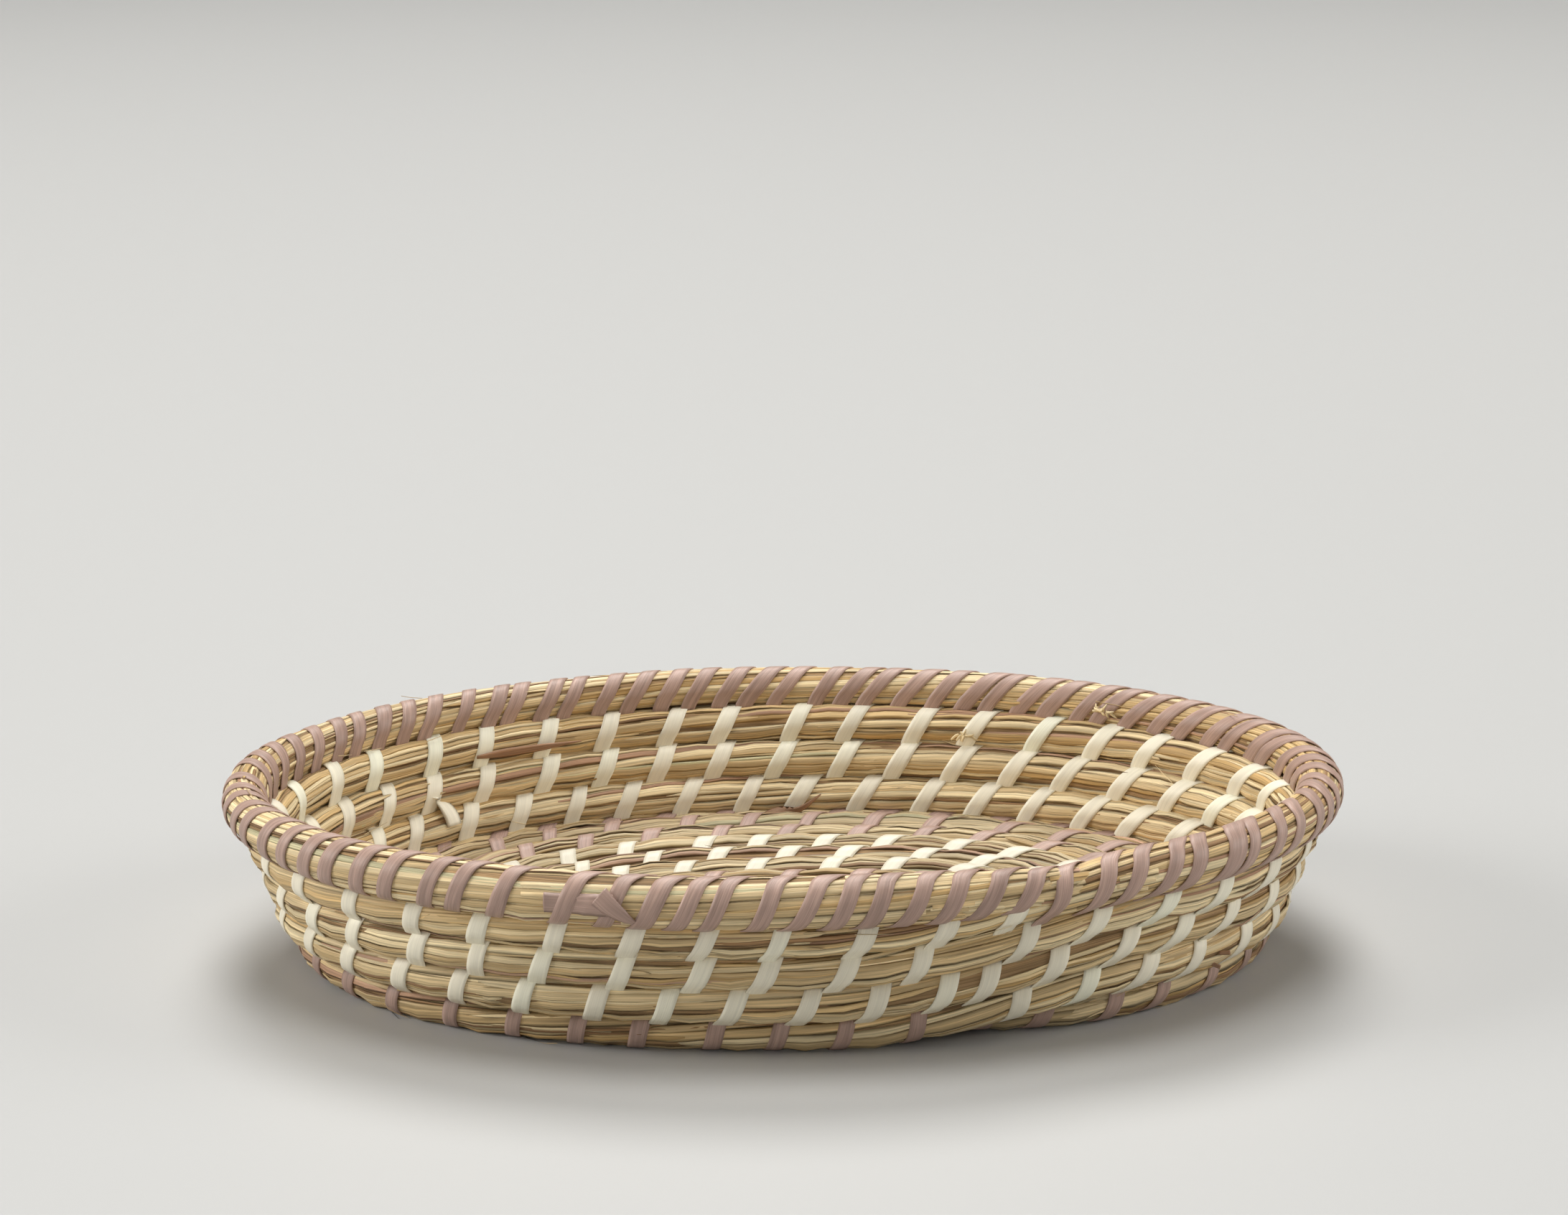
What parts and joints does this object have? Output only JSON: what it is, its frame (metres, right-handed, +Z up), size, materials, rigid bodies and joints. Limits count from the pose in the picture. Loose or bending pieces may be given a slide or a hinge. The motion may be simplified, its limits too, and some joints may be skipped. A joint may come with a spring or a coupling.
{
  "type": "coiled basket",
  "caption": "Shallow oval coiled grass basket with a flat floor, a flared wall and a thick bound rim.",
  "frame": {"origin": "middle of the basket's box, on the surface that it stands on", "axes": "+X along the long way of the oval, +Y to the back, +Z up; the seam of the rounds is at the front"},
  "size_m": [0.3426, 0.247, 0.0574],
  "materials": {
    "dried_grass": "dry matte grass stems",
    "cream_strip": "satin flat palm strip",
    "mauve_strip": "satin dyed palm strip"
  },
  "bodies": {
    "root": {"foundation_coil": "dried_grass", "rim_binder_long": "mauve_strip", "rim_binder_short": "mauve_strip", "rim_splice_tail": "mauve_strip", "wall_binder_upper": "cream_strip", "wall_binder_middle": "cream_strip", "wall_binder_lower": "cream_strip", "floor_binder_1": "mauve_strip", "floor_binder_2": "mauve_strip", "floor_binder_3": "cream_strip", "floor_binder_4": "cream_strip", "floor_binder_5": "cream_strip", "floor_binder_6": "mauve_strip"}
  },
  "joints": []
}
